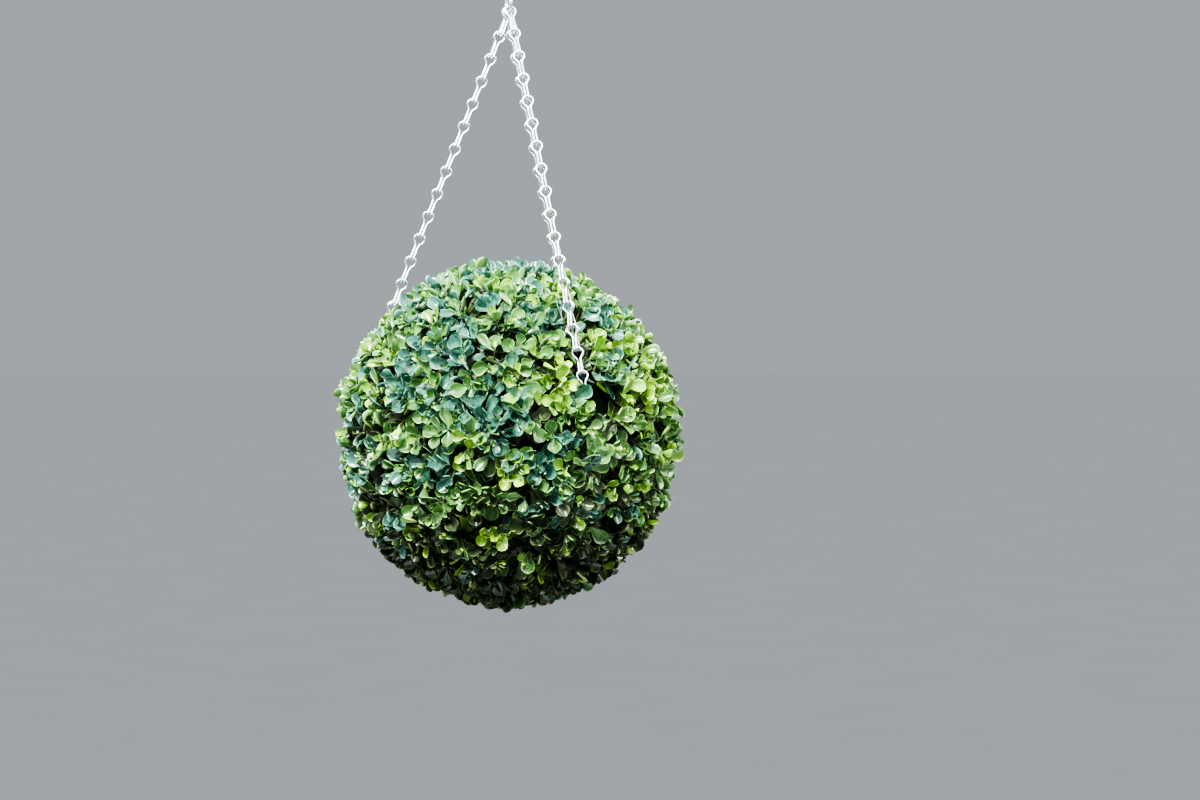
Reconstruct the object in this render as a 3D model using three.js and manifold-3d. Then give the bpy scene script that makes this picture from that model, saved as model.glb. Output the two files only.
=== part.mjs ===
// A clipped box ball of artificial foliage, hung from a wire hook by three chains of folded loop links.
// Millimetres, +Z up. The origin is the seat under the hook's top bend, and everything hangs below it.

import * as THREE from "three";
import { mergeVertices } from "three/addons/utils/BufferGeometryUtils.js";
import Module from "manifold-3d";

const wasm = await Module();
wasm.setup();

// Clearance between pieces that touch or cradle each other, and the smallest edge that fusing leaves
const restGap = 0.3;
const fuseTolerance = 0.001;

// Hook: one bent wire with an open bend above, a short shank and a round eye below
const hookWire = 2.8;
const hookBendRadius = 7.9;
const hookEyeRadius = 9;
const hookDrop = 47;
const hookTurn = 12;
const hookTipAngle = -35;
const hookReturnAngle = 235;
const hookEyeStartAngle = 65;
const hookEyeSweep = 313;
const hookSteps = 46;

// Chain links: a closed wire loop folded double, with two round eyes above and a U fold below
const chainWire = 1.8;
const linkPitch = 20.8;
const linksPerChain = 17;
const linkEyeRadius = 4.5;
const linkEyeSpread = 1.05;
const linkEyeShoulderAngle = 30;
const linkNeckHalfWidth = 1.35;
const linkNeckStart = 10;
const linkFoldHalfDepth = 4.3;

// Where the chains leave the hook's eye and where they are held on the ball
const chainSeatAngle = 34;
const sideSeatLift = 0.45;
const anchorRadius = 129;
const anchorRise = 36;
const anchorWire = 2.4;
const anchorHalfWidth = 5.6;
const anchorTurnShare = 0.3;
const chains = [
  { name: "left", azimuth: 180, seat: 0, turns: [[1, 78], [3, 90], [12, 90], [17, 40]] },
  { name: "front", azimuth: -60, seat: -1, turns: [[1, 18], [3, 30], [10, 30], [13, 60], [14, 60], [17, 30]] },
  { name: "back", azimuth: 60, seat: 1, turns: [[1, -42], [3, -30], [17, -30]] },
];

// Ball: two half shells that meet at a level seam, each thick with sprigs
const coreRadius = 122;
const ballHalfWidth = 149;
const ballHalfHeight = 152.5;
const seamGap = 0.3;
const coreSides = 24;
const coreRings = 7;
const sprigCount = 86;
const sprigSeed = 43;
const stemSunk = 5;
const stemLength = 4;
const stemLean = 0.3;
const twigLength = 8;
const twigForkAngle = 66;
const twigRadius = 1.3;
const leafLength = 24;
const leafWidth = 16;
const leafThickness = 1;
const leafCup = 2.4;
const leafSpreadAngle = 56;
const leafRootSunk = 1.4;
const leafRootStep = 0.15;
const leafTwist = 0.7;
const leafSpreadRange = 16;
const chainClearance = 6.6;

const galvanised = { color: 0xc9ced1, roughness: 0.38, metalness: 0.85 };
const boxGreen = { color: 0x3d6b33, roughness: 0.42, metalness: 0 };

const rad = THREE.MathUtils.degToRad;
const up = new THREE.Vector3(0, 0, 1);

function vector(x, y, z) {
  return new THREE.Vector3(x, y, z);
}

// Repeatable random numbers from 0 to 1
function seededRandom(seed) {
  let state = seed;
  return () => {
    state = (state + 0x6d2b79f5) | 0;
    let t = Math.imul(state ^ (state >>> 15), 1 | state);
    t = (t + Math.imul(t ^ (t >>> 7), 61 | t)) ^ t;
    return ((t ^ (t >>> 14)) >>> 0) / 4294967296;
  };
}

function closedSolid(geometry) {
  const bare = new THREE.BufferGeometry();
  bare.setAttribute("position", geometry.getAttribute("position").clone());
  if (geometry.index) bare.setIndex(geometry.index.clone());
  const merged = mergeVertices(bare, 1e-4);
  const corners = merged.index.array;
  const triangles = [];
  for (let i = 0; i < corners.length; i += 3) {
    const [a, b, c] = corners.slice(i, i + 3);
    if (a !== b && b !== c && c !== a) triangles.push(a, b, c);
  }
  return new wasm.Manifold(new wasm.Mesh({
    numProp: 3,
    vertProperties: merged.getAttribute("position").array,
    triVerts: Uint32Array.from(triangles),
  }));
}

// Joins the solids and keeps the one large body, so that loose scraps go and sealed hollows fill
function fused(solids) {
  const whole = solids.reduce((sum, solid) => sum.add(solid));
  const bodies = whole.simplify(fuseTolerance).decompose();
  bodies.sort((a, b) => b.volume() - a.volume());
  const mesh = bodies[0].getMesh();
  const geometry = new THREE.BufferGeometry();
  const positions = new THREE.BufferAttribute(Float32Array.from(mesh.vertProperties), mesh.numProp);
  geometry.setAttribute("position", positions);
  geometry.setIndex(new THREE.BufferAttribute(Uint32Array.from(mesh.triVerts), 1));
  return geometry;
}

function named(name, geometry, finish) {
  const mesh = new THREE.Mesh(geometry, new THREE.MeshStandardMaterial(finish));
  mesh.name = name;
  return mesh;
}

function arcPoints(centre, radius, startAngle, endAngle, stepAngle) {
  const count = Math.max(1, Math.round(Math.abs(endAngle - startAngle) / stepAngle));
  return Array.from({ length: count + 1 }, (_, i) => {
    const angle = rad(startAngle + ((endAngle - startAngle) * i) / count);
    return vector(0, centre.y + radius * Math.cos(angle), centre.z + radius * Math.sin(angle));
  });
}

const hookBendCentre = vector(0, 0, -(hookBendRadius - hookWire / 2));
const hookEyeCentre = vector(0, 0, -hookDrop + hookEyeRadius);

// The hook's centre line lies in its own YZ plane: open bend, reverse bend to the middle, shank, eye
function hookCentreLine() {
  const bend = arcPoints(hookBendCentre, hookBendRadius, hookTipAngle, hookReturnAngle, 15);
  const bendEnd = bend[bend.length - 1];
  const lean = hookReturnAngle - 180;
  const reverseRadius = -bendEnd.y / (1 - Math.cos(rad(lean)));
  const reverseCentre = vector(0, -reverseRadius, bendEnd.z - reverseRadius * Math.sin(rad(lean)));
  const reverse = arcPoints(reverseCentre, reverseRadius, lean, 0, 14);
  const eyeEnd = hookEyeStartAngle - hookEyeSweep;
  const eye = arcPoints(hookEyeCentre, hookEyeRadius, hookEyeStartAngle, eyeEnd, 15);
  const throatRadius = eye[0].y / (1 - Math.cos(rad(hookEyeStartAngle)));
  const throatCentre = vector(0, throatRadius, eye[0].z + throatRadius * Math.sin(rad(hookEyeStartAngle)));
  const throat = arcPoints(throatCentre, throatRadius, 180, 180 + hookEyeStartAngle, 20);
  return [...bend, ...reverse.slice(1), ...throat, ...eye.slice(1)];
}

function hookGeometry() {
  const path = new THREE.CatmullRomCurve3(hookCentreLine());
  const section = new THREE.Shape().absarc(0, 0, hookWire / 2, 0, 2 * Math.PI);
  return new THREE.ExtrudeGeometry(section, {
    extrudePath: path,
    steps: hookSteps,
    curveSegments: 3,
    bevelEnabled: false,
  });
}

// A closed curve that passes its stations at equal steps of its parameter
class StationLoop extends THREE.CatmullRomCurve3 {
  getUtoTmapping(u) {
    return u;
  }
}

// The fold's two wires lie under the next link's eye tops, or round the anchor's bar
const linkEyeTop = linkEyeRadius * (1 - Math.cos(rad(linkEyeShoulderAngle)));
const linkFoldDrop = linkEyeTop + chainWire + restGap;
const linkFoldEnd = linkPitch + linkFoldDrop;

// Local frame of a link: x across its eyes, y from one eye to the other, -z down the chain
function linkGeometry() {
  const shoulder = rad(linkEyeShoulderAngle);
  const quarter = [
    [linkEyeRadius * Math.sin(shoulder), linkEyeSpread, linkEyeTop],
    [linkEyeRadius, linkEyeSpread, linkEyeRadius],
    [linkNeckHalfWidth, linkEyeSpread, linkNeckStart],
    [linkNeckHalfWidth, linkFoldHalfDepth, linkFoldEnd],
  ];
  const side = (x, y) => quarter.map(([across, depth, down]) => vector(x * across, y * depth, -down));
  const stations = [
    ...side(1, 1),
    ...side(1, -1).reverse(),
    ...side(-1, -1),
    ...side(-1, 1).reverse(),
  ];
  const loop = new StationLoop(stations, true, "centripetal");
  return new THREE.TubeGeometry(loop, stations.length, chainWire / 2, 4, true);
}

// Straight-line value between [link, degrees] keys
function turnAt(turns, link) {
  const next = turns.findIndex(([key]) => key >= link);
  if (next <= 0) return turns[0][1];
  const [fromLink, fromTurn] = turns[next - 1];
  const [toLink, toTurn] = turns[next];
  return fromTurn + ((toTurn - fromTurn) * (link - fromLink)) / (toLink - fromLink);
}

const chainLength = (linksPerChain - 1) * linkPitch + linkFoldEnd - (chainWire + anchorWire) / 2 - restGap;
const hookAcross = vector(0, 1, 0).applyAxisAngle(up, rad(hookTurn));

// A taut straight line from the hook's eye wire to the bar of the chain's anchor
function chainRoute({ azimuth, seat }) {
  const outward = vector(Math.cos(rad(azimuth)), Math.sin(rad(azimuth)), 0);
  const seatAngle = rad(chainSeatAngle * seat);
  const seatDrop = (hookWire + chainWire) / 2 + linkEyeTop + restGap + sideSeatLift * Math.abs(seat);
  const held = hookEyeCentre.clone()
    .addScaledVector(hookAcross, hookEyeRadius * Math.sin(seatAngle))
    .addScaledVector(up, -hookEyeRadius * Math.cos(seatAngle));
  const across = outward.clone().multiplyScalar(anchorRadius).sub(vector(held.x, held.y, 0));
  const drop = Math.sqrt((chainLength - seatDrop) ** 2 - across.lengthSq());
  const bottom = held.clone().add(across).addScaledVector(up, -drop);
  const down = bottom.clone().sub(held).normalize();
  const top = held.clone().addScaledVector(down, -seatDrop);
  const facing = outward.clone().addScaledVector(down, -outward.dot(down)).normalize();
  return { top, bottom, down, facing };
}

function linkFrame(route, turn) {
  const depth = route.facing.clone().applyAxisAngle(route.down, rad(turn));
  const above = route.down.clone().negate();
  const across = depth.clone().cross(above);
  return new THREE.Matrix4().makeBasis(across, depth, above);
}

function chainLinks(chain) {
  const route = chainRoute(chain);
  return Array.from({ length: linksPerChain }, (_, i) => {
    const number = String(i + 1).padStart(2, "0");
    const link = named(`chain_${chain.name}_link_${number}`, linkGeometry(), galvanised);
    link.quaternion.setFromRotationMatrix(linkFrame(route, turnAt(chain.turns, i + 1)));
    link.position.copy(route.top).addScaledVector(route.down, i * linkPitch);
    return link;
  });
}

const leftRoute = chainRoute(chains[0]);
const ballCentre = vector(0, 0, leftRoute.bottom.z - anchorRise);

function rodGeometry(from, to, radius, sides) {
  const along = to.clone().sub(from);
  const section = new THREE.Shape().absarc(0, 0, radius, 0, 2 * Math.PI);
  const corners = new THREE.Shape(
    Array.from({ length: sides }, (_, i) => section.getPoint(i / sides)),
  );
  const rod = new THREE.ExtrudeGeometry(corners, { depth: along.length(), bevelEnabled: false });
  rod.applyQuaternion(new THREE.Quaternion().setFromUnitVectors(up, along.normalize()));
  return rod.translate(from.x, from.y, from.z);
}

// A wire staple on the shell, whose bar lies in the fold of the chain's last link
function anchorGeometries(chain) {
  const route = chainRoute(chain);
  const turn = anchorTurnShare * turnAt(chain.turns, linksPerChain);
  const across = vector(1, 0, 0).transformDirection(linkFrame(route, turn));
  const inward = ballCentre.clone().sub(route.bottom).normalize();
  const ends = [-1, 1].map((side) => route.bottom.clone().addScaledVector(across, side * anchorHalfWidth));
  const overlap = across.clone().multiplyScalar(anchorWire / 2);
  const bar = rodGeometry(ends[0].clone().sub(overlap), ends[1].clone().add(overlap), anchorWire / 2, 6);
  const legs = ends.map((end) => {
    const depth = end.distanceTo(ballCentre) - coreRadius + stemSunk;
    return rodGeometry(end, end.clone().addScaledVector(inward, depth), anchorWire / 2, 6);
  });
  return [bar, ...legs];
}

// Half of the core, closed by the flat face of the seam
function halfCore(side) {
  const arc = Array.from({ length: coreRings + 1 }, (_, i) => {
    const angle = (Math.PI / 2) * (i / coreRings);
    return new THREE.Vector2(coreRadius * Math.sin(angle), coreRadius * Math.cos(angle));
  });
  arc[0].x = 0;
  arc[coreRings].y = seamGap / 2;
  const profile = [new THREE.Vector2(0, seamGap / 2), ...arc.reverse()];
  const core = new THREE.LatheGeometry(profile, coreSides);
  core.rotateX(side > 0 ? Math.PI / 2 : -Math.PI / 2);
  return closedSolid(core.translate(ballCentre.x, ballCentre.y, ballCentre.z));
}

// Five points round an obovate, blunt-tipped outline, and a low middle on each face
function leafGeometry(root, along, face) {
  const across = along.clone().cross(face).normalize();
  const outline = [[0, 0], [0.56, 0.5], [0.93, 0.3], [0.93, -0.3], [0.56, -0.5]];
  const at = (length, width, height) => root.clone()
    .addScaledVector(along, length * leafLength)
    .addScaledVector(across, width * leafWidth)
    .addScaledVector(face, height);
  const points = outline.map(([length, width]) => at(length, width, length > 0 ? leafCup : 0));
  points.push(at(0.52, 0, leafThickness / 2), at(0.52, 0, -leafThickness / 2));
  const upper = outline.length;
  const faces = outline.flatMap((_, i) => {
    const next = (i + 1) % outline.length;
    return [upper, i, next, upper + 1, next, i];
  });
  const geometry = new THREE.BufferGeometry().setFromPoints(points);
  geometry.setIndex(faces);
  return geometry;
}

function reachAlong(direction) {
  const wide = Math.hypot(direction.x, direction.y) / ballHalfWidth;
  const high = direction.z / ballHalfHeight;
  return 1 / Math.hypot(wide, high);
}

// True where every corner keeps to the half's own space and clear of the chains
function keepsClear(geometry, side) {
  const place = geometry.getAttribute("position");
  const point = vector(0, 0, 0);
  const nearest = vector(0, 0, 0);
  for (let i = 0; i < place.count; i += 1) {
    point.fromBufferAttribute(place, i);
    const fromCentre = point.clone().sub(ballCentre);
    if (side * fromCentre.z < 2 * seamGap) return false;
    if (fromCentre.length() > reachAlong(fromCentre.clone().normalize())) return false;
    for (const { top, bottom } of chains.map(chainRoute)) {
      new THREE.Line3(top, bottom).closestPointToPoint(point, true, nearest);
      if (nearest.distanceTo(point) < chainClearance) return false;
    }
  }
  return true;
}

// Two twigs that fork from one root sunk in the core, each with an opposite pair of leaves at its end
function growSprig(direction, side, random) {
  const lean = vector(random() - 0.5, random() - 0.5, random() - 0.5).multiplyScalar(stemLean);
  const stemAim = direction.clone().add(lean).normalize();
  const root = ballCentre.clone().addScaledVector(direction, coreRadius - stemSunk);
  const forkAxis = stemAim.clone().cross(up).normalize().applyAxisAngle(stemAim, 2 * Math.PI * random());
  const twigs = [-1, 1].map((way) => {
    const aim = stemAim.clone().applyAxisAngle(forkAxis, way * rad(twigForkAngle / 2));
    const tip = root.clone().addScaledVector(stemAim, stemSunk + stemLength).addScaledVector(aim, twigLength);
    return { aim, tip, rod: rodGeometry(root, tip, twigRadius, 3) };
  });
  return twigs.map(({ aim, tip, rod }) => {
    const leaves = [-1, 1].map((hand) => {
      const hinge = aim.clone().cross(forkAxis).normalize().applyAxisAngle(aim, leafTwist * (random() - 0.5));
      const spread = rad(leafSpreadAngle + leafSpreadRange * (random() - 0.5));
      const along = aim.clone().applyAxisAngle(hinge, hand * spread);
      const face = along.clone().applyAxisAngle(hinge, -hand * Math.PI / 2);
      const leafRoot = tip.clone().addScaledVector(aim, -leafRootSunk).addScaledVector(along, leafRootStep);
      return leafGeometry(leafRoot, along, face);
    });
    return { rod, leaves };
  });
}

function boxed(geometry) {
  geometry.computeBoundingBox();
  return { box: geometry.boundingBox, solid: closedSolid(geometry) };
}

function crosses(piece, others) {
  return others.some(({ box, solid }) => box.intersectsBox(piece.box) && !solid.intersect(piece.solid).isEmpty());
}

// Sprigs spread evenly over the core by the golden angle, without the leaves that would cross another twig's
function halfFoliage(side) {
  const random = seededRandom(sprigSeed + side);
  const limbs = side > 0 ? chains.flatMap(anchorGeometries).map(boxed) : [];
  const goldenAngle = Math.PI * (3 - Math.sqrt(5));
  const grown = [];
  for (let i = 0; i < sprigCount; i += 1) {
    const height = 1 - (2 * i + 1) / sprigCount;
    if (Math.sign(height) !== side) continue;
    const ring = Math.sqrt(1 - height * height);
    const direction = vector(ring * Math.cos(i * goldenAngle), ring * Math.sin(i * goldenAngle), height);
    const rods = [];
    for (const { rod, leaves } of growSprig(direction, side, random)) {
      const others = [...limbs, ...grown];
      if (!keepsClear(rod, side) || crosses(boxed(rod), others)) continue;
      const kept = leaves.filter((leaf) => keepsClear(leaf, side)).map(boxed);
      rods.push(boxed(rod));
      grown.push(...kept.filter((leaf) => !crosses(leaf, others)));
    }
    grown.push(...rods);
  }
  return fused([...limbs.map(({ solid }) => solid), ...grown.map(({ solid }) => solid), halfCore(side)]);
}

const hangingBall = new THREE.Group();
const hook = named("hook", hookGeometry(), galvanised);
hook.rotation.z = rad(hookTurn);
hangingBall.add(hook);
chains.forEach((chain) => hangingBall.add(...chainLinks(chain)));
hangingBall.add(named("upper_foliage", halfFoliage(1), boxGreen));
hangingBall.add(named("lower_foliage", halfFoliage(-1), boxGreen));

export default hangingBall;
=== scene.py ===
import math

import bpy
import numpy as np
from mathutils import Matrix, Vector


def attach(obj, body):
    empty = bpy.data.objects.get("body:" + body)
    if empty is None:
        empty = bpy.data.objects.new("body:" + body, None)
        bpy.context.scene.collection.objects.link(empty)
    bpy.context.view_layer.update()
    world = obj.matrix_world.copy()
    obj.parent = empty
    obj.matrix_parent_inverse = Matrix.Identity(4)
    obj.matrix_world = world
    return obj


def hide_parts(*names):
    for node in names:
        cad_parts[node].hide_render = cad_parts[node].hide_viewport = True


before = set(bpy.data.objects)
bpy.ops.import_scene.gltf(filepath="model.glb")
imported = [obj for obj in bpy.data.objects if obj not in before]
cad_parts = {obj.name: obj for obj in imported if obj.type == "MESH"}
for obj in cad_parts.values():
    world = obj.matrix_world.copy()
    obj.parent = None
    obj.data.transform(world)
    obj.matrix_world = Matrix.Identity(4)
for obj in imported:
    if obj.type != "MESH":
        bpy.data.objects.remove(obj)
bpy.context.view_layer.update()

# Sizes are in millimetres and angles in degrees, in the model's own frame.
# Blender's meshes, lights and camera are in metres.
MM = 0.001
UP = np.array([0.0, 0.0, 1.0])

# Hook, as in the solids. Steps are the degrees between two stations of an arc.
HOOK_WIRE = 2.8
HOOK_BEND_RADIUS = 7.9
HOOK_EYE_RADIUS = 9.0
HOOK_DROP = 47.0
HOOK_TURN = 12.0
HOOK_TIP_ANGLE = -35.0
HOOK_RETURN_ANGLE = 235.0
HOOK_EYE_START = 65.0
HOOK_EYE_SWEEP = 313.0
HOOK_STEP = 15
HOOK_BACK_STEP = 14
HOOK_THROAT_STEP = 20
HOOK_SIDES = 14

# Links, as in the solids
CHAIN_WIRE = 1.8
CHAIN_SIDES = 8
LINK_PITCH = 20.8
LINKS = 17
EYE_RADIUS = 4.5
EYE_SPREAD = 1.05
EYE_SHOULDER = 30.0
NECK_HALF = 1.35
FOLD_HALF = 4.3
REST_GAP = 0.3
SEAT_ANGLE = 34.0
SIDE_SEAT_LIFT = 0.45
EYE_TOP = EYE_RADIUS * (1 - math.cos(math.radians(EYE_SHOULDER)))
FOLD_END = LINK_PITCH + (EYE_TOP + CHAIN_WIRE + REST_GAP)
# A quarter of a link: angles of the stations round its eye, then half width, half depth and drop of those below
EYE_ANGLES = [74, 48, 22, -4, -30, -50]
NECK_STATIONS = [(1.85, EYE_SPREAD + 0.05, 9.6), (NECK_HALF, 1.5, 11.8), (NECK_HALF, 2.7, 16.8),
                 (NECK_HALF, FOLD_HALF - 0.4, 21.6), (NECK_HALF, FOLD_HALF - 0.5, 23.0),
                 (NECK_HALF, 2.4, FOLD_END + 0.05)]

# Each chain: its direction from the middle, its seat on the hook's eye, and some links with their turn
CHAINS = {
    "left": (180.0, 0, [(1, 78), (3, 90), (12, 90), (17, 40)]),
    "front": (-60.0, -1, [(1, 18), (3, 30), (10, 30), (13, 60), (14, 60), (17, 30)]),
    "back": (60.0, 1, [(1, -42), (3, -30), (17, -30)]),
}

# Staples that hold the last links
ANCHOR_RADIUS = 129.0
ANCHOR_RISE = 36.0
ANCHOR_WIRE = 2.4
ANCHOR_HALF = 5.6
ANCHOR_TURN_SHARE = 0.3
ANCHOR_CORNER = 1.2
ANCHOR_BEND = 2.0
ANCHOR_SUNK = 3.0
ANCHOR_SIDES = 10
CHAIN_LENGTH = (LINKS - 1) * LINK_PITCH + FOLD_END - (CHAIN_WIRE + ANCHOR_WIRE) / 2 - REST_GAP

# Steps of the smooth curve from one station of a wire to the next
HOOK_SMOOTHING = 5
LINK_SMOOTHING = 2
STAPLE_SMOOTHING = 6

# The plastic ball under the leaves, a rib on every third ring and fourth column, and the ball's outline
SHELL_RADIUS = 117.0
SHELL_RINGS = 20
SHELL_COLUMNS = 72
RIB_HEIGHT = 3.0
RIB_RINGS = 3
RIB_COLUMNS = 4
HALF_WIDTH = 149.0
HALF_HEIGHT = 154.0

# Sprigs stand on the shell and fork into two twigs. A swing is the most that a value strays either way.
SPRIGS = 440
SPRIG_SEED = 43
PLACE_SWING = 0.05
STEM_SUNK = 5.0
STEM_LENGTH = 6.0
STEM_SWING = 4.0
STEM_LEAN = 0.3
STEM_THICKER = 1.3
TWIG_LENGTH = 18.0
TWIG_LENGTH_SHARE = 0.97
TWIG_LENGTH_SWING = 0.17
TWIG_DRAWN = 0.98
TWIG_FORK = 50.0
TWIG_FORK_SWING = 14.0
TWIG_RADIUS = 0.75
TWIG_SIDES = 5

# Pairs of leaves along a twig: share of its length, spread from it, leaf length
PAIRS = [(0.02, 84.0, 17.5), (0.30, 88.0, 18.5), (0.62, 76.0, 18.5),
         (0.86, 63.0, 16.5), (1.0, 47.0, 12.5), (1.07, 30.0, 8.0)]
LEAF_WIDTH = 0.69
LEAF_TWIST = 40.0
LEAF_SPREAD_RANGE = 26.0
LEAF_ROLL_SWING = 34.0
LEAF_LENGTH_SWING = 0.27
LEAF_WIDTH_SWING = 0.14
LEAF_CUP_SWING = 0.5
LIME_LENGTH = 0.88

# Kinds of leaf from blue-green to lime, and the value at which each next kind begins. A spray's value follows
# waves over the ball, rises to one side and falls towards the crown. Along a twig it rises to the tip.
KINDS = ["deep", "mid", "fresh", "lime"]
KIND_STEPS = (0.15, 1.45, 2.45)
SPRAY_VALUE = 0.3
SPRAY_WAVES = 0.5
SPRAY_SWING = 2.1
YELLOWER_SIDE = 0.40
# Leaves turn bluer towards the crown: a painted reflection of the bluish sky on the top leaves
CROWN_FROM = 0.30
BLUER_CROWN = 1.30
YELLOWER_TIP = 0.24
LEAF_KIND_SWING = 0.7

# From this depth on the ball, as a share of its radius, more and more leaves are dull olive: painted shade on the
# underside
SHADE_FROM = 0.18
SHADE_SPAN = 0.60
MOST_SHADED = 0.88
# Share of the leaves in a twig's two innermost pairs that are dull olive: painted shade deep among the leaves
INNER_SHADED = [0.90, 0.50]
# Fresh and lime leaves take the painted shade less often, by this factor
YELLOW_SHADED = 0.85

# Leaves end within this share of the ball's radius, more in places, and a few stray further
PROUD = 0.988
ROUGH_REACH = 0.020
STRAY_REACH = 0.048
STRAY_SEED = 11
# How fast each wave runs over the ball, and which of them make the colours and the outline
WAVE_SEED = 7
WAVE_SPEEDS = (5, 7, 9, 11, 8, 13, 17)
COLOUR_WAVES = slice(0, 4)
OUTLINE_WAVES = slice(4, 7)

# Leaves and twigs stay this clear of the chains' lines, and off a bare spot beside the front chain's end
CHAIN_CLEAR = 5.8
CHAIN_CLEAR_TWIGS = 3.0
BARE_SPOT = (84.0, -108.0, 28.6)
BARE_RADIUS = 9.0

# A spoon-shaped leaf of length 1 along x, cupped towards z. Rows from root to tip: place, half width, height.
# Columns are shares of a row's half width.
ROWS = [(0.0, 0.05, 0.0), (0.14, 0.065, -0.02), (0.27, 0.14, -0.035), (0.41, 0.29, -0.03),
        (0.57, 0.44, -0.01), (0.74, 0.50, 0.03), (0.89, 0.41, 0.09), (1.0, 0.20, 0.15)]
COLUMNS = [-1.0, -0.85, -0.45, 0.0, 0.45, 0.85, 1.0]
CUP = 0.19
LIP = 0.02
LIP_FROM = 0.3
RIB = 0.03
ROW_BOW = -0.03
TIP_BOW = 0.05
# Faces of a leaf that take its heart's colour, on every second leaf: partly its paler midrib and base, partly a
# painted sheen
HEART_COLUMNS = (2, 3)
HEART_ROWS = (0, 1, 2, 3, 4)
# Most leaves in one piece, which keeps it under 200,000 triangles
MOST_LEAVES = 2350

# A round pale floor well below the ball, wide enough to meet the horizon
FLOOR_LEVEL = -2400.0
FLOOR_SIDES = 96
FLOOR_RADII = [1500.0, 6000.0, 24000.0, 120000.0]
FLOOR_COLOUR = (0.985, 0.985, 0.985)
FLOOR_DIMMER = 0.97

# Soft panels that face the ball: metres from its centre, width and height, power, colour
PANELS = {
    "sky_panel": ((-0.12, -0.20, 0.95), (2.2, 2.2), 50, (0.84, 0.94, 1.0)),
    "front_panel": ((-0.40, -1.05, 1.0), (0.55, 0.4), 68, (1.0, 0.99, 0.96)),
    "back_panel": ((-0.3, 0.9, 0.6), (1.0, 0.45), 26, (0.88, 0.95, 1.0)),
    "right_panel": ((0.9, -0.5, 0.7), (0.4, 0.6), 14, (1.0, 0.97, 0.90)),
}
WORLD_COLOUR = (0.85, 0.92, 0.98, 1)
WORLD_STRENGTH = 0.38

# The photograph's frame in its own pixels, its lens centred, and its horizon above the ball's centre
FRAME_WIDTH = 1200.0
FRAME_HEIGHT = 800.0
FOCAL = 4645.0
BALL_AT = (509.0, 434.0)
HORIZON = 295.0
DISTANCE = 4.0
SENSOR_WIDTH = 36.0


def unit(v):
    return v / np.linalg.norm(v, axis=-1, keepdims=True)


def turned(v, axis, degrees):
    """v turned about a unit axis, also for rows of vectors and angles."""
    a = np.radians(np.asarray(degrees, float))[..., None]
    along = np.sum(v * axis, axis=-1, keepdims=True)
    return v * np.cos(a) + np.cross(axis, v) * np.sin(a) + axis * along * (1 - np.cos(a))


def smooth_curve(points, closed, steps):
    """Centripetal Catmull-Rom through the points, the rule that the solids' wires follow."""
    p = np.asarray(points, float)
    n = len(p)
    spans = n if closed else n - 1
    out = []
    for i in range(spans):
        if closed:
            p0, p1, p2, p3 = (p[(i + k) % n] for k in (-1, 0, 1, 2))
        else:
            p1, p2 = p[i], p[i + 1]
            p0 = p[i - 1] if i else 2 * p1 - p2
            p3 = p[i + 2] if i + 2 < n else 2 * p2 - p1
        d0, d1, d2 = (max(np.linalg.norm(b - a), 1e-6) ** 0.5 for a, b in ((p0, p1), (p1, p2), (p2, p3)))
        m1 = ((p1 - p0) / d0 - (p2 - p0) / (d0 + d1) + (p2 - p1) / d1) * d1
        m2 = ((p2 - p1) / d1 - (p3 - p1) / (d1 + d2) + (p3 - p2) / d2) * d1
        for k in range(steps):
            t = k / steps
            square = (3 * (p2 - p1) - 2 * m1 - m2) * t * t
            cube = (2 * (p1 - p2) + m1 + m2) * t ** 3
            out.append(p1 + m1 * t + square + cube)
    if not closed:
        out.append(p[-1])
    return np.array(out)


def wire_mesh(path, radius, sides, closed):
    """Vertices and faces of a round wire along the path, with flat or joined ends."""
    n = len(path)
    ahead = unit(np.roll(path, -1, axis=0) - np.roll(path, 1, axis=0))
    if not closed:
        ahead[0] = unit(path[1] - path[0])
        ahead[-1] = unit(path[-1] - path[-2])
    # Each ring's first point is carried along the path, from any direction that the wire doesn't start along.
    # A closed wire spreads the turn that is left over all its rings.
    side = np.zeros_like(path)
    side[0] = unit(np.cross(ahead[0], [0.3, 0.5, 0.8]))
    for i in range(1, n):
        side[i] = unit(side[i - 1] - ahead[i] * np.dot(side[i - 1], ahead[i]))
    twist = np.zeros(n)
    if closed:
        last = unit(side[-1] - ahead[0] * np.dot(side[-1], ahead[0]))
        gap = math.degrees(math.atan2(np.dot(np.cross(last, side[0]), ahead[0]), np.dot(last, side[0])))
        twist = gap * np.arange(n) / n
    side = turned(side, ahead, twist)
    other = np.cross(ahead, side)
    angle = 2 * math.pi * np.arange(sides) / sides
    ring = np.cos(angle)[None, :, None] * side[:, None] + np.sin(angle)[None, :, None] * other[:, None]
    verts = (path[:, None] + radius * ring).reshape(-1, 3)
    i = np.arange(n if closed else n - 1)[:, None]
    here, beyond = i * sides, ((i + 1) % n) * sides
    j = np.arange(sides)[None, :]
    k = (j + 1) % sides
    quads = np.stack([here + j, here + k, beyond + k, beyond + j], axis=-1)
    faces = [tuple(q) for q in quads.reshape(-1, 4)]
    if not closed:
        faces.append(tuple(range(sides))[::-1])
        faces.append(tuple(range((n - 1) * sides, n * sides)))
    return verts, faces


def joined(parts):
    verts, faces, base = [], [], 0
    for v, f in parts:
        verts.append(v)
        faces.extend(tuple(k + base for k in face) for face in f)
        base += len(v)
    return np.concatenate(verts), faces


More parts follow.
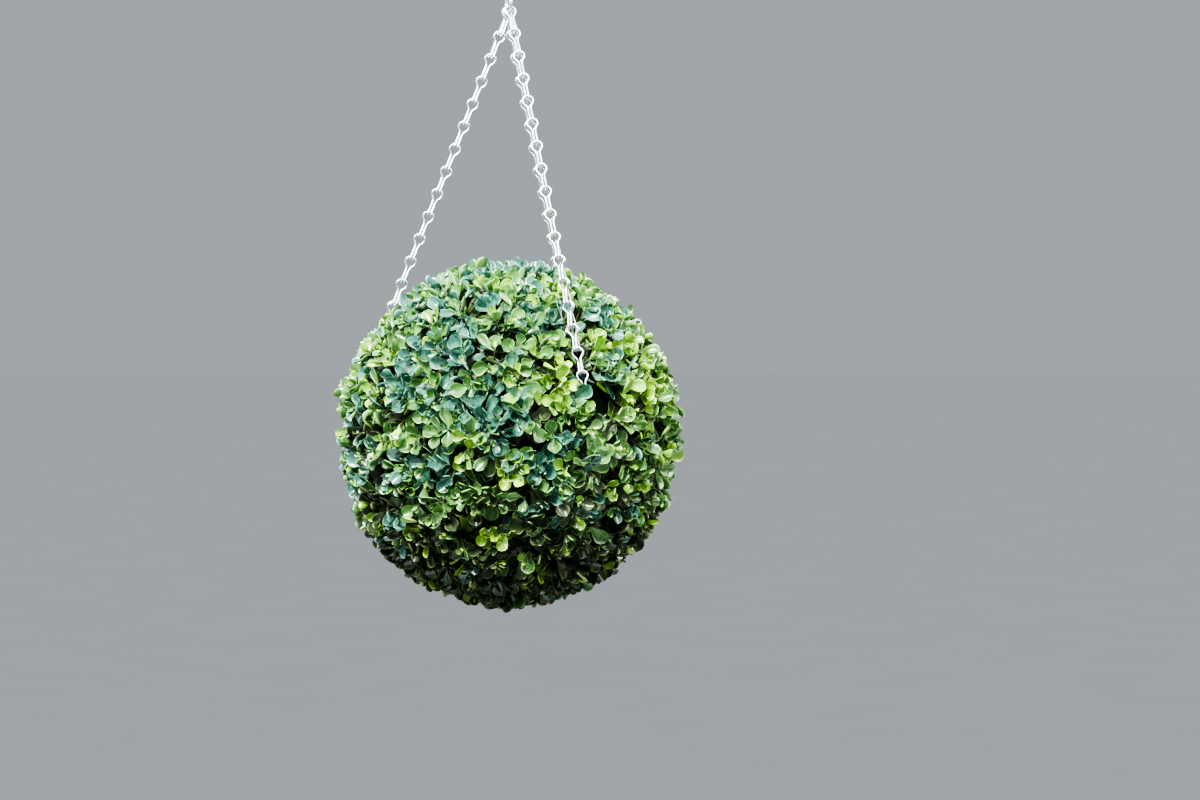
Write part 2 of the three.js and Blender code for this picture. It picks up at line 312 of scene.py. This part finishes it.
def make_object(name, verts, faces, materials, smooth=True, slots=None):
    mesh = bpy.data.meshes.new(name)
    mesh.from_pydata((np.asarray(verts) * MM).tolist(), [], faces)
    mesh.polygons.foreach_set("use_smooth", [smooth] * len(mesh.polygons))
    for material in materials:
        mesh.materials.append(material)
    if slots is not None:
        mesh.polygons.foreach_set("material_index", slots)
    mesh.update()
    obj = bpy.data.objects.new(name, mesh)
    bpy.context.scene.collection.objects.link(obj)
    return obj


def on_ball(obj, slot, *nodes):
    """A piece on the ball's body, its material slot (not used), and the nodes that it stands for."""
    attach(obj, "hanging_ball")
    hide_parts(*nodes)


def principled(name, colour, roughness, metallic=0.0, **sockets):
    material = bpy.data.materials.new(name)
    material.use_nodes = True
    tree = material.node_tree
    shader = tree.nodes["Principled BSDF"]
    shader.inputs["Base Color"].default_value = (*colour, 1)
    shader.inputs["Roughness"].default_value = roughness
    shader.inputs["Metallic"].default_value = metallic
    for key, value in sockets.items():
        shader.inputs[key.replace("_", " ")].default_value = value
    return material, tree, shader


def noise(tree, scale, detail=3.0):
    place = tree.nodes.get("place") or tree.nodes.new("ShaderNodeTexCoord")
    place.name = "place"
    node = tree.nodes.new("ShaderNodeTexNoise")
    node.inputs["Scale"].default_value = scale
    node.inputs["Detail"].default_value = detail
    node.inputs["Roughness"].default_value = 0.5
    tree.links.new(place.outputs["Object"], node.inputs["Vector"])
    return node.outputs["Fac"]


def mottle(tree, shader, value, low, high):
    """Base colour that runs with the value, between two pairs of the value and a colour."""
    node = tree.nodes.new("ShaderNodeValToRGB")
    for element, (position, colour) in zip(node.color_ramp.elements, (low, high)):
        element.position, element.color = position, (*colour, 1)
    tree.links.new(value, node.inputs["Fac"])
    tree.links.new(node.outputs["Color"], shader.inputs["Base Color"])


def wear(tree, shader, value, smoothest, roughest):
    """Roughness that runs with a noise, which mostly lies between 0.3 and 0.7."""
    node = tree.nodes.new("ShaderNodeMapRange")
    for key, number in (("From Min", 0.3), ("From Max", 0.7), ("To Min", smoothest), ("To Max", roughest)):
        node.inputs[key].default_value = number
    tree.links.new(value, node.inputs["Value"])
    tree.links.new(node.outputs["Result"], shader.inputs["Roughness"])


def bump(tree, shader, value, strength, distance):
    node = tree.nodes.new("ShaderNodeBump")
    node.inputs["Strength"].default_value = strength
    node.inputs["Distance"].default_value = distance
    tree.links.new(value, node.inputs["Height"])
    tree.links.new(node.outputs["Normal"], shader.inputs["Normal"])


def leaf_material(name, dark, light, roughness, coat):
    material, tree, shader = principled(name, dark, roughness, Coat_Weight=coat, Coat_Roughness=0.10)
    mottle(tree, shader, noise(tree, 95.0, detail=2.0), (0.32, dark), (0.68, light))
    wear(tree, shader, noise(tree, 420.0, detail=2.0), roughness - 0.07, roughness + 0.1)
    bump(tree, shader, noise(tree, 700.0), 0.25, 0.0006)
    return material


def twig_material():
    material, tree, shader = principled("twig_green", (0.03, 0.05, 0.015), 0.55)
    mottle(tree, shader, noise(tree, 120.0), (0.3, (0.025, 0.045, 0.012)), (0.7, (0.070, 0.060, 0.022)))
    bump(tree, shader, noise(tree, 900.0), 0.4, 0.0004)
    return material


def shell_material():
    material, tree, shader = principled("shell_dark", (0.006, 0.014, 0.007), 0.9, Specular_IOR_Level=0.15)
    mottle(tree, shader, noise(tree, 60.0), (0.3, (0.004, 0.009, 0.005)), (0.7, (0.009, 0.020, 0.009)))
    bump(tree, shader, noise(tree, 260.0), 0.5, 0.001)
    return material


def zinc_material():
    material, tree, shader = principled("bright_zinc", (0.74, 0.76, 0.78), 0.32, metallic=0.95)
    mottle(tree, shader, noise(tree, 260.0, detail=4.0), (0.3, (0.58, 0.61, 0.64)), (0.7, (0.86, 0.88, 0.90)))
    wear(tree, shader, noise(tree, 700.0), 0.22, 0.42)
    bump(tree, shader, noise(tree, 1500.0), 0.25, 0.0002)
    return material


def floor_material():
    material, tree, shader = principled("studio_pale", FLOOR_COLOUR, 0.9)
    dimmer = tuple(FLOOR_DIMMER * c for c in FLOOR_COLOUR)
    mottle(tree, shader, noise(tree, 2.0), (0.2, dimmer), (0.8, FLOOR_COLOUR))
    return material


# Of a leaf: its blade, its paler rim, and the paler heart of every second leaf. Rim and heart are partly the
# leaf's own paler margin and vein, partly painted highlight and sheen.
LEAVES = {
    "deep": leaf_material("leaf_deep", (0.032, 0.124, 0.088), (0.072, 0.205, 0.155), 0.22, 0.75),
    "mid": leaf_material("leaf_mid", (0.066, 0.176, 0.046), (0.122, 0.262, 0.078), 0.24, 0.70),
    "fresh": leaf_material("leaf_fresh", (0.155, 0.335, 0.036), (0.235, 0.425, 0.064), 0.26, 0.60),
    # The shade kind is painted shade, dull olive, on leaves low on the ball and deep among the twigs
    "shade": leaf_material("leaf_shade", (0.026, 0.048, 0.018), (0.048, 0.076, 0.030), 0.30, 0.3),
    "lime": leaf_material("leaf_lime", (0.310, 0.540, 0.036), (0.410, 0.640, 0.066), 0.34, 0.2),
}
# Rim colours: partly the leaf's own lighter margin, partly a painted highlight along the edge
RIMS = {
    "deep": leaf_material("rim_deep", (0.190, 0.370, 0.260), (0.250, 0.440, 0.320), 0.36, 0.2),
    "mid": leaf_material("rim_mid", (0.280, 0.480, 0.170), (0.340, 0.550, 0.210), 0.36, 0.2),
    "fresh": leaf_material("rim_fresh", (0.380, 0.580, 0.130), (0.450, 0.650, 0.170), 0.38, 0.2),
    "shade": leaf_material("rim_shade", (0.110, 0.150, 0.060), (0.160, 0.200, 0.085), 0.38, 0.2),
    "lime": leaf_material("rim_lime", (0.560, 0.740, 0.180), (0.640, 0.800, 0.240), 0.40, 0.2),
}
# Heart colours: partly a paler midrib and base, partly a painted sheen in the leaf's hollow
HEARTS = {
    "deep": leaf_material("heart_deep", (0.070, 0.205, 0.135), (0.125, 0.290, 0.190), 0.26, 0.45),
    "mid": leaf_material("heart_mid", (0.140, 0.300, 0.070), (0.200, 0.380, 0.110), 0.28, 0.4),
    "fresh": leaf_material("heart_fresh", (0.270, 0.470, 0.050), (0.340, 0.550, 0.080), 0.30, 0.3),
    "shade": leaf_material("heart_shade", (0.050, 0.080, 0.026), (0.075, 0.110, 0.040), 0.30, 0.3),
    "lime": leaf_material("heart_lime", (0.190, 0.430, 0.040), (0.270, 0.510, 0.060), 0.34, 0.2),
}
ZINC = zinc_material()
TWIG = twig_material()
SHELL = shell_material()

HOOK_ACROSS = turned(np.array([0.0, 1.0, 0.0]), UP, HOOK_TURN)
HOOK_EYE_CENTRE = np.array([0.0, 0.0, -HOOK_DROP + HOOK_EYE_RADIUS])


def arc(centre_y, centre_z, radius, start, end, step):
    count = max(1, round(abs(end - start) / step))
    angles = np.radians(np.linspace(start, end, count + 1))
    return [(0.0, centre_y + radius * math.cos(a), centre_z + radius * math.sin(a)) for a in angles]


def hook_path():
    """An open bend over the bracket's rod, a curve back to the middle, a short throat, and the eye below."""
    bend_centre = -(HOOK_BEND_RADIUS - HOOK_WIRE / 2)
    bend = arc(0, bend_centre, HOOK_BEND_RADIUS, HOOK_TIP_ANGLE, HOOK_RETURN_ANGLE, HOOK_STEP)
    lean = HOOK_RETURN_ANGLE - 180
    back_radius = -bend[-1][1] / (1 - math.cos(math.radians(lean)))
    back_centre = bend[-1][2] - back_radius * math.sin(math.radians(lean))
    back = arc(-back_radius, back_centre, back_radius, lean, 0, HOOK_BACK_STEP)
    eye_end = HOOK_EYE_START - HOOK_EYE_SWEEP
    eye = arc(0, HOOK_EYE_CENTRE[2], HOOK_EYE_RADIUS, HOOK_EYE_START, eye_end, HOOK_STEP)
    start = math.radians(HOOK_EYE_START)
    throat_radius = eye[0][1] / (1 - math.cos(start))
    throat_centre = eye[0][2] + throat_radius * math.sin(start)
    throat = arc(throat_radius, throat_centre, throat_radius, 180, 180 + HOOK_EYE_START, HOOK_THROAT_STEP)
    path = smooth_curve(bend + back[1:] + throat + eye[1:], False, HOOK_SMOOTHING)
    return turned(path, UP, HOOK_TURN)


def link_path():
    """A wire loop folded double: two round eyes above, two necks, and a U fold below."""
    angles = np.radians(EYE_ANGLES)
    quarter = [(EYE_RADIUS * math.cos(t), EYE_SPREAD, EYE_RADIUS * (1 - math.sin(t))) for t in angles]
    quarter += NECK_STATIONS

    def side(x, y):
        return [(x * across, y * depth, -down) for across, depth, down in quarter]

    stations = side(1, 1) + side(1, -1)[::-1] + side(-1, -1) + side(-1, 1)[::-1]
    return smooth_curve(stations, True, LINK_SMOOTHING)


def turn_at(turns, link):
    keys, values = zip(*turns)
    return float(np.interp(link, keys, values))


def chain_route(azimuth, seat):
    """A straight chain from the hook's eye to its staple: top, bottom, way down, and the way it faces."""
    outward = np.array([math.cos(math.radians(azimuth)), math.sin(math.radians(azimuth)), 0.0])
    angle = math.radians(SEAT_ANGLE * seat)
    seat_drop = (HOOK_WIRE + CHAIN_WIRE) / 2 + EYE_TOP + REST_GAP + SIDE_SEAT_LIFT * abs(seat)
    held = (HOOK_EYE_CENTRE + HOOK_ACROSS * HOOK_EYE_RADIUS * math.sin(angle)
            - UP * HOOK_EYE_RADIUS * math.cos(angle))
    across = outward * ANCHOR_RADIUS - np.array([held[0], held[1], 0.0])
    drop = math.sqrt((CHAIN_LENGTH - seat_drop) ** 2 - float(across @ across))
    bottom = held + across - UP * drop
    down = unit(bottom - held)
    facing = unit(outward - down * float(outward @ down))
    return held - down * seat_drop, bottom, down, facing


def link_axes(down, facing, turn):
    depth = turned(facing, down, turn)
    return np.stack([np.cross(depth, -down), depth, -down])


ROUTES = {name: chain_route(azimuth, seat) for name, (azimuth, seat, _) in CHAINS.items()}
BALL = np.array([0.0, 0.0, ROUTES["left"][1][2] - ANCHOR_RISE])


def staple_path(bottom, down, facing, turn):
    across = link_axes(down, facing, ANCHOR_TURN_SHARE * turn)[0]
    inward = unit(BALL - bottom)
    ends = [bottom - across * ANCHOR_HALF, bottom + across * ANCHOR_HALF]
    depth = np.linalg.norm(ends[0] - BALL) - SHELL_RADIUS + ANCHOR_SUNK
    corners = [ends[0] + inward * depth, ends[0] + inward * ANCHOR_BEND, ends[0] + across * ANCHOR_CORNER,
               ends[1] - across * ANCHOR_CORNER, ends[1] + inward * ANCHOR_BEND, ends[1] + inward * depth]
    return smooth_curve(corners, False, STAPLE_SMOOTHING)


def lattice_shell(side):
    """Half of the plastic ball under the leaves: a dark skin with raised ribs."""
    theta = np.linspace(0, math.pi / 2, SHELL_RINGS + 1)[:, None]
    phi = (2 * math.pi * np.arange(SHELL_COLUMNS) / SHELL_COLUMNS)[None, :]
    ring_ribs = np.arange(SHELL_RINGS + 1)[:, None] % RIB_RINGS == 0
    column_ribs = np.arange(SHELL_COLUMNS)[None, :] % RIB_COLUMNS == 0
    radius = SHELL_RADIUS - RIB_HEIGHT + RIB_HEIGHT * (ring_ribs | column_ribs).astype(float)
    verts = np.stack([radius * np.sin(theta) * np.cos(phi), radius * np.sin(theta) * np.sin(phi),
                      side * radius * np.cos(theta)], axis=-1).reshape(-1, 3) + BALL
    faces = []
    for i in range(SHELL_RINGS):
        here, below = i * SHELL_COLUMNS, (i + 1) * SHELL_COLUMNS
        for j in range(SHELL_COLUMNS):
            k = (j + 1) % SHELL_COLUMNS
            quad = (here + j, below + j, below + k, here + k)
            faces.append(quad if side > 0 else quad[::-1])
    return verts, faces


def leaf_template():
    """A leaf's vertices and faces, and each face's material without and with a heart: 0 blade, 1 rim, 2 heart."""
    verts = []
    for row, half, rise in ROWS:
        for c in COLUMNS:
            bow = (TIP_BOW if row == 1.0 else ROW_BOW) * (1 - c * c)
            lip = LIP if abs(c) == 1.0 and row > LIP_FROM else 0.0
            rib = RIB * half if c == 0 else 0.0
            verts.append((row + bow, c * half, rise + CUP * 2 * half * c * c + lip - rib))
    wide = len(COLUMNS)
    cells = [(r, c) for r in range(len(ROWS) - 1) for c in range(wide - 1)]
    faces = [(r * wide + c, r * wide + wide + c, r * wide + wide + c + 1, r * wide + c + 1) for r, c in cells]
    # The outer columns take the rim's colour: partly a lighter margin, partly a painted highlight along the edge
    plain = [1 if c in (0, wide - 2) else 0 for r, c in cells]
    hearted = [2 if c in HEART_COLUMNS and r in HEART_ROWS else slot for (r, c), slot in zip(cells, plain)]
    return np.array(verts), np.array(faces), plain, hearted


LEAF_VERTS, LEAF_FACES, PLAIN_SLOTS, HEARTED_SLOTS = leaf_template()


def reach(direction):
    """The ball's radius in a direction."""
    wide = np.hypot(direction[..., 0], direction[..., 1]) / HALF_WIDTH
    return 1 / np.hypot(wide, direction[..., 2] / HALF_HEIGHT)


wave_draws = np.random.default_rng(WAVE_SEED)
WAVES = [(unit(wave_draws.normal(size=3)) * k, wave_draws.uniform(0, 2 * math.pi)) for k in WAVE_SPEEDS]


def waves(direction, which):
    """A smooth pattern over the ball, from -1 to 1."""
    picked = WAVES[which]
    return sum(np.sin(direction @ k + phase) for k, phase in picked) / len(picked)


def clear_of_chains(points, gap):
    ok = np.ones(len(points), bool)
    for top, bottom, _, _ in ROUTES.values():
        run = bottom - top
        t = np.clip(((points - top) @ run) / float(run @ run), 0, 1)
        ok &= np.linalg.norm(points - (top + t[:, None] * run), axis=1) > gap
    return ok


def clear_of_bare_spot(points):
    out = points - BALL
    spot = unit(np.array(BARE_SPOT))
    off_axis = np.linalg.norm(np.cross(out, spot), axis=-1)
    return (off_axis > BARE_RADIUS) | (out @ spot < 0)


def seeded_random(seed):
    """Repeatable random numbers from 0 to 1."""
    state = seed & 0xFFFFFFFF
    while True:
        state = (state + 0x6D2B79F5) & 0xFFFFFFFF
        t = ((state ^ (state >> 15)) * (1 | state)) & 0xFFFFFFFF
        t = ((t + (((t ^ (t >> 7)) * (61 | t)) & 0xFFFFFFFF)) & 0xFFFFFFFF) ^ t
        yield (t ^ (t >> 14)) / 4294967296


def grow():
    """Sprigs spread by the golden angle: two twigs from one stem, each pair of leaves a quarter turn on."""
    source = seeded_random(SPRIG_SEED)

    def random():
        return next(source)

    def swing(size):
        return size * (random() + random() - 1)

    golden = math.pi * (3 - math.sqrt(5))
    leaves = {kind: [] for kind in LEAVES}
    rods = []
    for i in range(SPRIGS):
        height = 1 - (2 * i + 1) / SPRIGS
        ring = math.sqrt(1 - height * height)
        direction = np.array([ring * math.cos(i * golden), ring * math.sin(i * golden), height])
        direction = unit(direction + np.array([swing(PLACE_SWING), swing(PLACE_SWING), swing(PLACE_SWING)]))
        lean = np.array([random() - 0.5, random() - 0.5, random() - 0.5]) * STEM_LEAN
        stem_aim = unit(direction + lean)
        root = BALL + direction * (SHELL_RADIUS - STEM_SUNK)
        fork = root + stem_aim * (STEM_SUNK + STEM_LENGTH + swing(STEM_SWING))
        fork_axis = turned(unit(np.cross(stem_aim, UP)), stem_aim, 360 * random())
        spray = SPRAY_VALUE + SPRAY_WAVES * float(waves(direction, COLOUR_WAVES)) + swing(SPRAY_SWING)
        # Painted reflection: bluer kinds towards the crown stand for the bluish sky on the top leaves
        spray += YELLOWER_SIDE * direction[0] - BLUER_CROWN * max(direction[2] - CROWN_FROM, 0.0)
        # Painted shade: the share of a sprig's leaves turned dull olive rises towards the bottom of the ball
        shaded = min(max((-direction[2] - SHADE_FROM) / SHADE_SPAN, 0.0), MOST_SHADED)
        rods.append((root, fork, TWIG_RADIUS * STEM_THICKER))
        for way in (-1, 1):
            aim = turned(stem_aim, fork_axis, way * TWIG_FORK / 2 + swing(TWIG_FORK_SWING))
            length = TWIG_LENGTH * (TWIG_LENGTH_SHARE + swing(TWIG_LENGTH_SWING))
            rods.append((fork, fork + aim * length * TWIG_DRAWN, TWIG_RADIUS))
            hinge = unit(np.cross(aim, fork_axis))
            for level, (share, spread, size) in enumerate(PAIRS):
                hinge = turned(hinge, aim, 90 + LEAF_TWIST * (random() - 0.5))
                # Painted shade deep in the twig: its innermost pairs turn dull olive more often
                dim = max(shaded, INNER_SHADED[level]) if level < len(INNER_SHADED) else shaded
                at = fork + aim * (length * share)
                for hand in (-1, 1):
                    lean = spread + LEAF_SPREAD_RANGE * (random() - 0.5)
                    along = turned(aim, hinge, hand * lean)
                    face = turned(turned(along, hinge, -hand * 90), along, swing(LEAF_ROLL_SWING))
                    value = spray + YELLOWER_TIP * (level - 1) + swing(LEAF_KIND_SWING)
                    kind = KINDS[int(np.digitize(value, KIND_STEPS))]
                    # A leaf given painted shade turns dull olive
                    if random() < dim * (1.0 if kind in ("deep", "mid") else YELLOW_SHADED):
                        kind = "shade"
                    scale = size * (1 + swing(LEAF_LENGTH_SWING)) * (LIME_LENGTH if kind == "lime" else 1.0)
                    wide, cup = 1 + swing(LEAF_WIDTH_SWING), 1 + swing(LEAF_CUP_SWING)
                    leaves[kind].append((at, along, face, scale, wide, cup))
    return leaves, rods


def leaf_meshes(rows):
    """Leaf vertices in space, one block for each leaf kept within the ball's reach and clear of the chains."""
    at, along, face = (np.array([r[k] for r in rows]) for k in (0, 1, 2))
    size, wide, cup = (np.array([r[k] for r in rows])[:, None, None] for k in (3, 4, 5))
    across = np.cross(face, along)
    local = np.broadcast_to(LEAF_VERTS, (len(rows), *LEAF_VERTS.shape))
    points = (at[:, None] + size * (local[:, :, 0:1] * along[:, None]
              + local[:, :, 1:2] * wide * LEAF_WIDTH * across[:, None]
              + local[:, :, 2:3] * cup * face[:, None]))
    from_ball = points - BALL
    distance = np.linalg.norm(from_ball, axis=2)
    direction = from_ball / distance[..., None]
    rough = waves(direction.reshape(-1, 3), OUTLINE_WAVES).reshape(distance.shape)
    stray = np.random.default_rng(STRAY_SEED).random(len(rows))[:, None] ** 2
    limit = reach(direction) * (PROUD + ROUGH_REACH * rough + STRAY_REACH * stray)
    inside = (distance < limit).all(axis=1)
    free = clear_of_chains(points.reshape(-1, 3), CHAIN_CLEAR).reshape(distance.shape).all(axis=1)
    return points[inside & free & clear_of_bare_spot(points).all(axis=1)]


def leaf_object(name, kind, points):
    count, size = points.shape[:2]
    faces = (LEAF_FACES[None] + (np.arange(count) * size)[:, None, None]).reshape(-1, 4)
    slots = [s for i in range(count) for s in (PLAIN_SLOTS if i % 2 else HEARTED_SLOTS)]
    colours = [LEAVES[kind], RIMS[kind], HEARTS[kind]]
    return make_object(name, points.reshape(-1, 3), faces.tolist(), colours, slots=slots)


def wide_floor():
    verts = [(0.0, 0.0, FLOOR_LEVEL)]
    faces = []
    for ring, radius in enumerate(FLOOR_RADII):
        start = 1 + ring * FLOOR_SIDES
        inner = start - FLOOR_SIDES
        for k in range(FLOOR_SIDES):
            a = 2 * math.pi * k / FLOOR_SIDES
            verts.append((radius * math.cos(a), radius * math.sin(a), FLOOR_LEVEL))
            following = (k + 1) % FLOOR_SIDES
            if ring:
                faces.append((inner + k, start + k, start + following, inner + following))
            else:
                faces.append((0, start + k, start + following))
    return make_object("studio_floor", verts, faces, [floor_material()], smooth=False)


hook = make_object("wire_hook", *wire_mesh(hook_path(), HOOK_WIRE / 2, HOOK_SIDES, False), [ZINC])
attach(hook, "hook")
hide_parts("hook")

link = link_path()
staples = []
for name, (_, _, turns) in CHAINS.items():
    top, bottom, down, facing = ROUTES[name]
    links = []
    for i in range(LINKS):
        axes = link_axes(down, facing, turn_at(turns, i + 1))
        path = top + down * (i * LINK_PITCH) + link @ axes
        links.append(wire_mesh(path, CHAIN_WIRE / 2, CHAIN_SIDES, True))
    chain = make_object(f"chain_{name}", *joined(links), [ZINC])
    on_ball(chain, "galvanised_wire", *[f"chain_{name}_link_{i + 1:02d}" for i in range(LINKS)])
    path = staple_path(bottom, down, facing, turn_at(turns, LINKS))
    staples.append(wire_mesh(path, ANCHOR_WIRE / 2, ANCHOR_SIDES, False))
on_ball(make_object("chain_staples", *joined(staples), [ZINC]), "galvanised_wire", "upper_foliage")

for half, side in (("upper", 1), ("lower", -1)):
    on_ball(make_object(f"shell_{half}", *lattice_shell(side), [SHELL]), "box_foliage", f"{half}_foliage")

leaf_rows, rods = grow()
for kind, rows in leaf_rows.items():
    points = leaf_meshes(rows)
    upper = points.mean(axis=1)[:, 2] > BALL[2]
    for half, chosen in (("upper", upper), ("lower", ~upper)):
        index = np.flatnonzero(chosen)
        for part, start in enumerate(range(0, len(index), MOST_LEAVES)):
            some = points[index[start:start + MOST_LEAVES]]
            leaves = leaf_object(f"leaves_{kind}_{half}_{part + 1}", kind, some)
            on_ball(leaves, "box_foliage", f"{half}_foliage")

rod_parts = {"upper": [], "lower": []}
for start, end, radius in rods:
    ends = np.array([start, end])
    if clear_of_chains(ends, CHAIN_CLEAR_TWIGS).all() and clear_of_bare_spot(ends).all():
        half = "upper" if start[2] > BALL[2] else "lower"
        path = np.array([start, (start + end) / 2, end])
        rod_parts[half].append(wire_mesh(path, radius, TWIG_SIDES, False))
for half, parts in rod_parts.items():
    on_ball(make_object(f"twigs_{half}", *joined(parts), [TWIG]), "box_foliage", f"{half}_foliage")

wide_floor()

ball_m = BALL * MM
for name, (offset, size, power, colour) in PANELS.items():
    data = bpy.data.lights.new(name, "AREA")
    data.shape = "RECTANGLE"
    data.size, data.size_y = size
    data.energy = power
    data.color = colour
    panel = bpy.data.objects.new(name, data)
    place = ball_m + offset
    panel.location = place
    panel.rotation_euler = Vector(ball_m - place).to_track_quat("-Z", "Y").to_euler()
    panel.visible_camera = False
    bpy.context.scene.collection.objects.link(panel)

world = bpy.data.worlds.new("studio_world")
world.use_nodes = True
world.node_tree.nodes["Background"].inputs["Color"].default_value = WORLD_COLOUR
world.node_tree.nodes["Background"].inputs["Strength"].default_value = WORLD_STRENGTH
bpy.context.scene.world = world

camera_data = bpy.data.cameras.new("camera")
camera_data.sensor_width = SENSOR_WIDTH
camera_data.lens = SENSOR_WIDTH * FOCAL / FRAME_WIDTH
camera = bpy.data.objects.new("camera", camera_data)
camera.location = (ball_m[0], -DISTANCE, ball_m[2] + DISTANCE * (BALL_AT[1] - HORIZON) / FOCAL)
pitch = math.atan((FRAME_HEIGHT / 2 - HORIZON) / FOCAL)
yaw = math.atan((FRAME_WIDTH / 2 - BALL_AT[0]) / FOCAL)
camera.rotation_euler = (math.radians(90) - pitch, 0.0, -yaw)
bpy.context.scene.collection.objects.link(camera)
bpy.context.scene.camera = camera

bpy.context.scene.view_settings.view_transform = "AgX"
bpy.context.scene.view_settings.look = "AgX - High Contrast"
